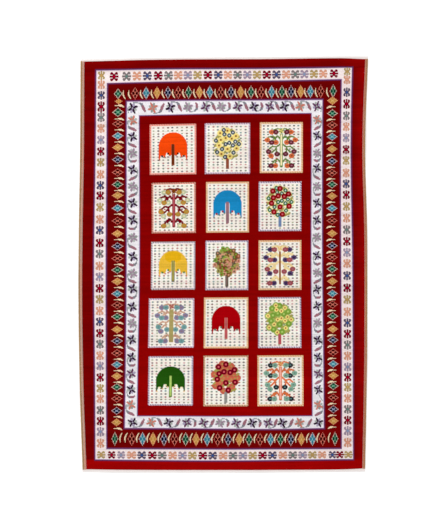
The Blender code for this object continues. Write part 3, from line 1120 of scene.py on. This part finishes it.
def end_web(name, cloth_end, web_edge):
    """A closed strip between a cloth end and its web's outer edge, over the rug's whole width."""
    share_across = np.linspace(0, 1, WEB_COLUMNS + 1)[None, :]
    share_out = np.linspace(0, 1, WEB_ROWS + 1)[:, None]
    left, right = across_at(web_edge)
    x = left + (right - left) * share_across
    ragged = np.interp(np.arange(WEB_COLUMNS + 1), np.arange(0, WEB_COLUMNS + 1, RAGGED_STEP),
                       rng.normal(0, RAGGED, WEB_COLUMNS // RAGGED_STEP + 1))
    outer = end_edge(x, web_edge) - abs(ragged)
    y = end_edge(x, cloth_end) * (1 - share_out) + outer * share_out
    x = x + 0 * y
    height = lift(x, y)
    mask = np.ones((WEB_ROWS, WEB_COLUMNS), bool)
    light = np.broadcast_to(WEB_WHITE, (*mask.shape, 3))
    return closed_piece(name, mask, standing(x, y, height + WEB_THICKNESS - TUCK),
                        standing(x, y, height), (1, 1), light, web_edge == BOTTOM_WEB, WEB_PITCH)


end_webs = [end_web("end_web_bottom", BOTTOM_END, BOTTOM_WEB),
            end_web("end_web_top", TOP_END, TOP_WEB)]
print("webs:", [piece.name for piece in end_webs])

# %% [markdown]
# ## Wrapped edges
# The sides of a kilim are bound: two bundles of warps at each side are wrapped round
# and round with spare wool, so the edge is a pair of cords side by side. Each turn is a
# small bead. It is the same small shape some four hundred times along a line that
# bends, which is what Geometry Nodes is for: the line gives the places, one bead gives
# the shape, and a little unevenness keeps it from looking machined. The overcast hems
# of the webs are the same thing across the rug, so one tree makes both.

# %% Node trees as formulas
class Tree:
    """A node tree that is built by naming each node's type, settings and sockets."""

    def __init__(self, tree):
        self.tree = tree

    def node(self, kind, settings=None, **sockets):
        """A new node, with its settings and with values or links for its inputs."""
        node = self.tree.nodes.new(kind)
        for name, value in (settings or {}).items():
            setattr(node, name, value)
        for name, value in sockets.items():
            self.plug(node, name.replace("_", " "), value)
        return node

    def plug(self, node, name, value):
        """Put a number, a socket or a Value into the input of that name."""
        socket = next(s for s in node.inputs if s.name == name and s.enabled)
        if isinstance(value, Value):
            value = value.socket
        if isinstance(value, bpy.types.NodeSocket):
            self.tree.links.new(value, socket)
        else:
            socket.default_value = value

    def value(self, kind, settings=None, **sockets):
        """A new node's first output in use, as a Value."""
        node = self.node(kind, settings, **sockets)
        return Value(self, next(s for s in node.outputs if s.enabled))


def maths(operation, swapped=False):
    """A method that puts a Value, and a second one if there is one, through a maths node."""
    def method(self, *others):
        node = self.build.tree.nodes.new("ShaderNodeMath")
        node.operation = operation
        for place, value in enumerate((*others, self) if swapped else (self, *others)):
            if isinstance(value, Value):
                self.build.tree.links.new(value.socket, node.inputs[place])
            else:
                node.inputs[place].default_value = value
        return Value(self.build, node.outputs[0])
    return method


class Value:
    """A node output that can be added, multiplied and so on, as in a plain formula."""

    def __init__(self, build, socket):
        self.build = build
        self.socket = socket

    __add__, __radd__ = maths("ADD"), maths("ADD", True)
    __sub__, __rsub__ = maths("SUBTRACT"), maths("SUBTRACT", True)
    __mul__, __rmul__ = maths("MULTIPLY"), maths("MULTIPLY", True)
    __truediv__, __pow__ = maths("DIVIDE"), maths("POWER")
    floor, fraction, sine = maths("FLOOR"), maths("FRACT"), maths("SINE")


# %% One tree for wraps along a line
WRAP_INPUTS = {
    "Line": "Geometry", "Pitch": "Float", "Bead Size": "Vector", "Pole Turn": "Vector",
    "Slant": "Float", "Unevenness": "Float", "Seed": "Int", "Yarn": "Material",
}


def wrap_tree():
    """Beads along an edge line: pitch, size, poles, slant and unevenness are inputs."""
    group = bpy.data.node_groups.new("wraps_along_a_line", "GeometryNodeTree")
    for name, kind in WRAP_INPUTS.items():
        group.interface.new_socket(name=name, in_out="INPUT", socket_type="NodeSocket" + kind)
    group.interface.new_socket(name="Wraps", in_out="OUTPUT", socket_type="NodeSocketGeometry")
    build = Tree(group)
    given = build.node("NodeGroupInput").outputs
    uneven, slant = Value(build, given["Unevenness"]), Value(build, given["Slant"])
    curve = build.value("GeometryNodeMeshToCurve", Mesh=given["Line"])
    places = build.value("GeometryNodeResampleCurve", {"mode": "LENGTH"}, Curve=curve,
                         Length=given["Pitch"])
    ball = build.value("GeometryNodeMeshUVSphere", Segments=8, Rings=4, Radius=0.5)
    turned = build.value("GeometryNodeTransform", Geometry=ball, Rotation=given["Pole Turn"])
    bead = build.value("GeometryNodeTransform", Geometry=turned, Scale=given["Bead Size"])
    size = build.value("FunctionNodeRandomValue", {"data_type": "FLOAT"}, Min=1.0 - uneven,
                       Max=1.0 + uneven, Seed=given["Seed"])
    turn = build.value("ShaderNodeCombineXYZ", Z=slant * size)
    beads = build.value("GeometryNodeInstanceOnPoints", Points=places, Instance=bead,
                        Rotation=turn, Scale=size)
    smooth = build.value("GeometryNodeSetShadeSmooth", Geometry=beads)
    real = build.value("GeometryNodeRealizeInstances", Geometry=smooth)
    dyed = build.value("GeometryNodeSetMaterial", Geometry=real, Material=given["Yarn"])
    build.node("NodeGroupOutput", Wraps=dyed)
    return group


wraps = wrap_tree()
print("tree:", wraps.name, len(wraps.nodes), "nodes")

# %% [markdown]
# Each line is a row of points laid where the cord's or the hem's middle runs, as high
# as half its thickness. The tree turns it into beads, and the result is kept as a plain
# mesh, so that nothing is left to be worked out later.

# %% Bind the sides and hem the ends
HEM_PITCH = 0.0029
HEM_DEPTH = 0.0052
HEM_HEIGHT = 0.0026
CORD_PITCH = 0.0036
BEAD_UNEVENNESS = 0.06
LINE_POINTS = 260
CORD_END = 0.0020  # a cord's line stops this far inside its last bead
HEM_END = 0.0015  # and a hem's line this far inside the rug's side
HEM_IN = 0.42  # of a hem's depth, from the web's outer edge to its line


def wrapped_line(name, points, pitch, size, pole_turn, slant, yarn, seed):
    """A plain mesh of beads along a line of points."""
    line = bpy.data.meshes.new(name + "_line")
    steps = [(start, start + 1) for start in range(len(points) - 1)]
    line.from_pydata([tuple(point) for point in points], steps, [])
    carrier = show(name + "_line", line)
    modifier = carrier.modifiers.new("wraps", "NODES")
    modifier.node_group = wraps
    values = {"Pitch": pitch, "Bead Size": size, "Pole Turn": pole_turn, "Slant": slant,
              "Unevenness": BEAD_UNEVENNESS, "Seed": seed, "Yarn": yarn}
    for item in wraps.interface.items_tree:
        if item.in_out == "INPUT" and item.name in values:
            modifier[item.identifier] = values[item.name]
    shown = carrier.evaluated_get(bpy.context.evaluated_depsgraph_get())
    mesh = bpy.data.meshes.new_from_object(shown)
    mesh.name = name
    bpy.data.objects.remove(carrier)
    return show(name, mesh)


def cord_points(edge, shares_in, width):
    """The middle line of one cord, from the bottom web to the top web."""
    nominal, inward = (-HALF_WIDTH, 1) if edge is left_edge else (HALF_WIDTH, -1)
    low = end_edge(nominal, BOTTOM_END) - WEB_STEP + CORD_END
    high = end_edge(nominal, TOP_END) + WEB_STEP - CORD_END
    y = np.linspace(low, high, LINE_POINTS)
    x = edge(y) + inward * shares_in * width
    return standing(x, y, BINDING_HEIGHT / 2 + lift(x, y))


def hem_points(edge):
    """The line of a hem, just inside a web's outer edge."""
    inward = 1 if edge == BOTTOM_WEB else -1
    x = np.linspace(*across_at(edge, HEM_END), LINE_POINTS)
    y = end_edge(x, edge) + inward * HEM_DEPTH * HEM_IN
    return standing(x, y, HEM_HEIGHT / 2 + lift(x, y))


print("wraps along a hem:", round(2 * HALF_WIDTH / HEM_PITCH))

# %% [markdown]
# ## Wool
# Wool yarn is matt, a little fuzzy, and never one flat colour: plies catch the light
# and the gaps between them hold shade. The cloth's material reads two things from each
# stitch, its yarn colour and its place in the weave. From the place it works out where
# it is within one bead, and it leans the beads one way in one row and the other way in
# the next, which gives soumak its herring-bone look. The light and shade of the beads are
# painted into the colour: darker in the gaps between beads, lighter on their crowns.

# %% Wool materials
FUZZ_SCALE = 900.0  # waves of noise to a metre: the yarn's fuzz, and patches of light wear
PATCH_SCALE = 14.0
CORD_FUZZ_SCALE = 700.0
FUZZ_BUMP = 0.0003  # metres


def wool(name):
    """A material with its shader, and a builder for its tree."""
    material = bpy.data.materials.new(name)
    material.use_nodes = True
    shader = material.node_tree.nodes["Principled BSDF"]
    shader.inputs["Specular IOR Level"].default_value = 0.0
    return material, shader, Tree(material.node_tree)


def noise(build, spot, scale, detail, roughness):
    """Smooth noise over the rug, about 0.5 on average."""
    return build.value("ShaderNodeTexNoise", {"noise_dimensions": "3D"}, Vector=spot, Scale=scale,
                       Detail=detail, Roughness=roughness)


def dress(build, shader, colour, share, rough, bump):
    """Give a shader its colour times a share, its roughness, and the bump node's normal."""
    tint = build.node("ShaderNodeVectorMath", {"operation": "SCALE"}, Vector=colour, Scale=share)
    build.plug(shader, "Base Color", tint.outputs[0])
    build.plug(shader, "Roughness", rough)
    build.plug(shader, "Normal", bump.outputs["Normal"])


def woven_wool(name, bead_columns, bead_rows, lean, depth):
    """Wool woven in beads of so many stitches, which lean the other way in every second row."""
    material, shader, build = wool(name)
    place = build.node("ShaderNodeUVMap", {"uv_map": "weave"})
    split = build.node("ShaderNodeSeparateXYZ", Vector=place.outputs["UV"])
    across = Value(build, split.outputs["X"]) / bead_columns
    up = Value(build, split.outputs["Y"]) / bead_rows
    way = 1 - 2 * ((up.floor() * 0.5).fraction() * 2)
    in_row = up.fraction()
    in_bead = (across + way * lean * (in_row - 0.5)).fraction()
    swell = ((in_bead * math.pi).sine() * (in_row * math.pi).sine()) ** 0.45
    spot = build.node("ShaderNodeTexCoord").outputs["Object"]
    fuzz = noise(build, spot, FUZZ_SCALE, 3.0, 0.65)
    patch = noise(build, spot, PATCH_SCALE, 3.0, 0.6)
    # painted shade and light: the colour is darker in the gaps between beads and lighter on their
    # crowns (swell); fuzz and patch vary it at random
    share = (0.80 + 0.26 * swell) * (0.90 + 0.20 * fuzz) * (0.90 + 0.20 * patch)
    yarn = build.node("ShaderNodeAttribute", {"attribute_name": "yarn"}).outputs["Color"]
    bump = build.node("ShaderNodeBump", Strength=0.55, Distance=depth, Height=swell + 0.35 * fuzz)
    dress(build, shader, yarn, share, 0.78 + 0.16 * fuzz, bump)
    return material


def dyed_wool(name, first, second, patch_size):
    """Wool for wraps: two tones that change in lengths along the rug."""
    material, shader, build = wool(name)
    spot = build.node("ShaderNodeTexCoord").outputs["Object"]
    stretched = build.value("ShaderNodeMapping", Vector=spot, Scale=(0.02, 1.0, 0.02))
    lengths = noise(build, stretched, patch_size, 2.0, 0.5)
    fuzz = noise(build, spot, CORD_FUZZ_SCALE, 3.0, 0.65)
    blend = build.value("ShaderNodeMix", {"data_type": "RGBA"}, Factor=(lengths - 0.42) / 0.16,
                        A=(*to_light(first), 1.0), B=(*to_light(second), 1.0))
    bump = build.node("ShaderNodeBump", Strength=0.4, Distance=FUZZ_BUMP, Height=fuzz)
    dress(build, shader, blend, 0.80 + 0.40 * fuzz, 0.80 + 0.14 * fuzz, bump)
    return material


soumak = woven_wool("soumak_wool", 2.0, 1.0, 0.5, 0.0005)
plain_weave = woven_wool("plain_weave", 1.0, 1.0, 0.0, 0.0003)
# the outer cords' yarns (tan, brown) are darker than the inner ones' (pink, rust): painted shade on
# the binding's outer side. The inner ones are also pinker.
tan_cord = dyed_wool("tan_cord", (178, 142, 100), (166, 128, 84), 3.5)
pink_cord = dyed_wool("pink_cord", (206, 166, 148), (220, 160, 134), 4.5)
brown_cord = dyed_wool("brown_cord", (178, 126, 84), (172, 130, 78), 3.5)
rust_cord = dyed_wool("rust_cord", (196, 124, 94), (206, 136, 104), 4.5)
hem_yarn = dyed_wool("hem_yarn", (254, 250, 248), (246, 242, 240), 6.0)
wools = (soumak, plain_weave, tan_cord, pink_cord, brown_cord, rust_cord, hem_yarn)
print("materials:", [wool_kind.name for wool_kind in wools])

# %% Put yarn on the pieces
CORD_WIDTH_SHARE = 0.52  # a bead's width, of its binding's; then shares of pitch and height
CORD_OVERLAP = 1.5
HEM_OVERLAP = 1.35
BEAD_HEIGHT_SHARE = 0.93
CORD_SLANT = 0.25
HEM_SLANT = 0.35
FIRST_HEM_SEED = 7

for piece in cloth_pieces:
    piece.data.materials.append(soumak)
for piece in [ground_weave] + end_webs:
    piece.data.materials.append(plain_weave)

bindings = []
for name, edge, share, width, yarn, node in (
        ("binding_left_outer", left_edge, 0.25, LEFT_BINDING_WIDTH, tan_cord, "selvedge_left"),
        ("binding_left_inner", left_edge, 0.75, LEFT_BINDING_WIDTH, pink_cord, "selvedge_left"),
        ("binding_right_outer", right_edge, 0.25, RIGHT_BINDING_WIDTH, brown_cord, "selvedge_right"),
        ("binding_right_inner", right_edge, 0.75, RIGHT_BINDING_WIDTH, rust_cord, "selvedge_right")):
    size = (width * CORD_WIDTH_SHARE, CORD_PITCH * CORD_OVERLAP, BINDING_HEIGHT * BEAD_HEIGHT_SHARE)
    piece = wrapped_line(name, cord_points(edge, share, width), CORD_PITCH, size,
                         (math.pi / 2, 0, 0), CORD_SLANT, yarn, len(bindings))
    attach(piece, "root")
    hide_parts(node)
    bindings.append(piece)

hems = []
for name, edge in (("hem_bottom", BOTTOM_WEB), ("hem_top", TOP_WEB)):
    size = (HEM_PITCH * HEM_OVERLAP, HEM_DEPTH, HEM_HEIGHT * BEAD_HEIGHT_SHARE)
    hems.append(wrapped_line(name, hem_points(edge), HEM_PITCH, size, (0, math.pi / 2, 0),
                             HEM_SLANT, hem_yarn, FIRST_HEM_SEED + len(hems)))

body = cloth_pieces + [ground_weave] + end_webs + hems
for piece in body:
    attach(piece, "root")
    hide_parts("kilim_body")
print("triangles in all:", sum(triangles(piece) for piece in body + bindings))

# %% [markdown]
# ## Floor, light and camera
# The rug lies on a plain white floor under an even sky, with one broad soft light from
# above the upper left, so that it is lit like a catalogue print: hardly any shadow,
# only enough to round the stitches. The camera looks straight down from high above the
# middle, which keeps the sides parallel.

# %% Set the scene
FLOOR_SIZE = 14.0
FLOOR_WHITE = (0.92, 0.92, 0.92, 1.0)
FLOOR_ROUGHNESS = 0.95
FLOOR_GLOW = 0.25
WHITE = (1.0, 1.0, 1.0, 1.0)
SKY_STRENGTH = 0.72
LAMP_PLACE = (-2.2, 2.2, 4.2)
LAMP_SIZE = 3.0
LAMP_POWER = 95.0
CAMERA_HEIGHT = 6.0
CAMERA_SHIFT = (-0.0090, -0.0005)  # from the rug's middle
FRAME_HEIGHT = 1.9166  # what the camera sees of the floor, from bottom to top
SENSOR = 36.0

floor_mesh = bpy.data.meshes.new("floor")
half = FLOOR_SIZE / 2
corners = [(-half, -half, 0), (half, -half, 0), (half, half, 0), (-half, half, 0)]
floor_mesh.from_pydata(corners, [], [(0, 1, 2, 3)])
floor_paint = bpy.data.materials.new("floor_paint")
floor_paint.use_nodes = True
paint = floor_paint.node_tree.nodes["Principled BSDF"].inputs
paint["Base Color"].default_value = FLOOR_WHITE
paint["Roughness"].default_value = FLOOR_ROUGHNESS
paint["Emission Color"].default_value = WHITE
paint["Emission Strength"].default_value = FLOOR_GLOW
floor_mesh.materials.append(floor_paint)
floor = show("floor", floor_mesh)

world = bpy.data.worlds.new("sky")
bpy.context.scene.world = world
world.use_nodes = True
sky = world.node_tree.nodes["Background"].inputs
sky["Color"].default_value = WHITE
sky["Strength"].default_value = SKY_STRENGTH

lamp = bpy.data.lights.new("broad_light", "AREA")
lamp.shape = "SQUARE"
lamp.size = LAMP_SIZE
lamp.energy = LAMP_POWER
lamp_object = show("broad_light", lamp)
lamp_object.location = LAMP_PLACE
lamp_object.rotation_euler = (-lamp_object.location).to_track_quat("-Z", "Y").to_euler()

camera = bpy.data.cameras.new("camera")
camera.sensor_width = SENSOR
camera.lens = SENSOR * CAMERA_HEIGHT / FRAME_HEIGHT
camera_object = show("camera", camera)
camera_object.location = (OFFSET_X + CAMERA_SHIFT[0], OFFSET_Y + CAMERA_SHIFT[1], CAMERA_HEIGHT)
bpy.context.scene.camera = camera_object
bpy.context.scene.view_settings.view_transform = "Standard"
print("lens:", round(camera.lens, 1), "mm")
